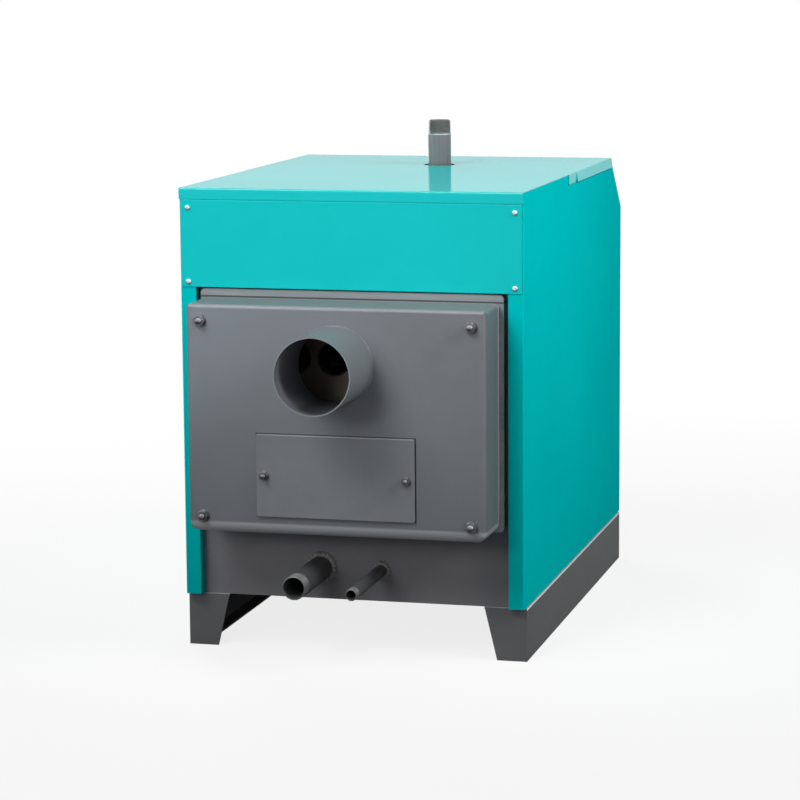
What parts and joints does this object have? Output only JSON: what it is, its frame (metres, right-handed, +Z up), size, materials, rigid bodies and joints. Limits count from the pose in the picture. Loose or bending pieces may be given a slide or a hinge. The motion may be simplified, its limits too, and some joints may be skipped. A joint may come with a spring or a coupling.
{
  "type": "oil boiler",
  "caption": "Floor-standing oil boiler in a folded sheet casing, with a hinged burner door, controls on a slanted fascia, a rear smoke box with flue spigot, and threaded water pipes.",
  "frame": {"origin": "on the floor, midway between the sides and midway between the burner studs and the end of the flue spigot", "axes": "+X to the right of someone who faces the door, +Y to the rear along the flue, +Z up"},
  "size_m": [0.608, 1.225, 0.883],
  "materials": {
    "teal_coat": "semi-gloss powder coat",
    "grey_paint": "satin heat-resistant paint",
    "dark_paint": "satin paint",
    "boiler_steel": "mill scale",
    "zinc_steel": "zinc plated",
    "mineral_wool": "matt fibre",
    "gasket_rope": "woven glass rope",
    "refractory_board": "matt fired board",
    "brass": "turned",
    "black_plastic": "moulded",
    "pale_plastic": "moulded",
    "green_plastic": "translucent gloss",
    "red_plastic": "gloss",
    "clear_glass": "clear"
  },
  "bodies": {
    "boiler": {"side_panel_left": "teal_coat", "side_panel_right": "teal_coat", "top_cover": "teal_coat", "rear_upper_panel": "teal_coat", "front_panel": "teal_coat", "fascia": "teal_coat", "casing_screws": "zinc_steel", "base_rail_left": "dark_paint", "base_rail_right": "dark_paint", "body_wrapper": "boiler_steel", "rear_tube_plate": "dark_paint", "front_tube_plate": "dark_paint", "furnace": "boiler_steel", "furnace_stays": "boiler_steel", "smoke_tubes": "boiler_steel", "turbulators": "zinc_steel", "insulation_jacket": "mineral_wool", "smoke_box_frame": "grey_paint", "smoke_box_gasket": "gasket_rope", "smoke_box_cover": "grey_paint", "flue_spigot": "grey_paint", "cleaning_plate": "grey_paint", "cleaning_gasket": "gasket_rope", "rear_studs": "zinc_steel", "rear_washers": "zinc_steel", "rear_nuts": "zinc_steel", "supply_pipe": "grey_paint", "return_pipe": "grey_paint", "drain_pipe": "grey_paint", "sensor_pocket": "brass", "door_frame": "grey_paint", "door_hinge_lugs": "grey_paint", "hinge_pins": "zinc_steel", "latch_keeper": "grey_paint", "control_plate": "black_plastic", "control_box": "zinc_steel", "thermostat_body": "pale_plastic", "thermometer": "zinc_steel", "thermometer_glass": "clear_glass", "switch_housings": "black_plastic", "indicator_lamps": "green_plastic", "safety_thermostat": "black_plastic", "cable_glands": "black_plastic"},
    "door": {"furnace_door": "grey_paint", "door_board": "refractory_board", "door_gasket": "gasket_rope", "burner_flange": "grey_paint", "burner_studs": "zinc_steel", "sight_tube": "grey_paint", "sight_glass": "clear_glass", "latch_bracket": "grey_paint"},
    "latch": {"latch_lever": "dark_paint", "latch_grip": "black_plastic"},
    "sight_flap": {"sight_flap": "zinc_steel"},
    "thermostat_knob": {"thermostat_knob": "black_plastic"},
    "thermometer_pointer": {"thermometer_pointer": "red_plastic"},
    "power_rocker": {"power_rocker": "green_plastic"},
    "pump_rocker": {"pump_rocker": "black_plastic"},
    "reset_button": {"reset_button": "red_plastic"}
  },
  "joints": [
    {"name": "door_hinge", "type": "hinge", "parent": "boiler", "child": "door", "pos_m": [-0.241, -0.562, 0.372], "axis": [0, 0, -1], "range_deg": [0, 110]},
    {"name": "latch_turn", "type": "hinge", "parent": "door", "child": "latch", "pos_m": [0.242, -0.5838, 0.372], "axis": [0, 1, 0], "range_deg": [0, 60]},
    {"name": "flap_swing", "type": "hinge", "parent": "door", "child": "sight_flap", "pos_m": [0.092, -0.5933, 0.416], "axis": [0, 1, 0], "range_deg": [0, 90]},
    {"name": "thermostat_turn", "type": "hinge", "parent": "boiler", "child": "thermostat_knob", "pos_m": [0, -0.4705, 0.749], "axis": [0, 0.6799, -0.7333], "range_deg": [0, 270]},
    {"name": "pointer_turn", "type": "hinge", "parent": "boiler", "child": "thermometer_pointer", "pos_m": [0.095, -0.4724, 0.75105], "axis": [0, 0.6799, -0.7333], "range_deg": [0, 240]},
    {"name": "power_tilt", "type": "hinge", "parent": "boiler", "child": "power_rocker", "pos_m": [-0.2, -0.47186, 0.75047], "axis": [1, 0, 0], "range_deg": [0, 18]},
    {"name": "pump_tilt", "type": "hinge", "parent": "boiler", "child": "pump_rocker", "pos_m": [-0.155, -0.47186, 0.75047], "axis": [1, 0, 0], "range_deg": [0, 18]},
    {"name": "reset_push", "type": "slide", "parent": "boiler", "child": "reset_button", "axis": [0, 0.6799, -0.7333], "range_m": [0, 0.003], "stiffness_N_per_m": 400, "springref_m": -0.003}
  ]
}
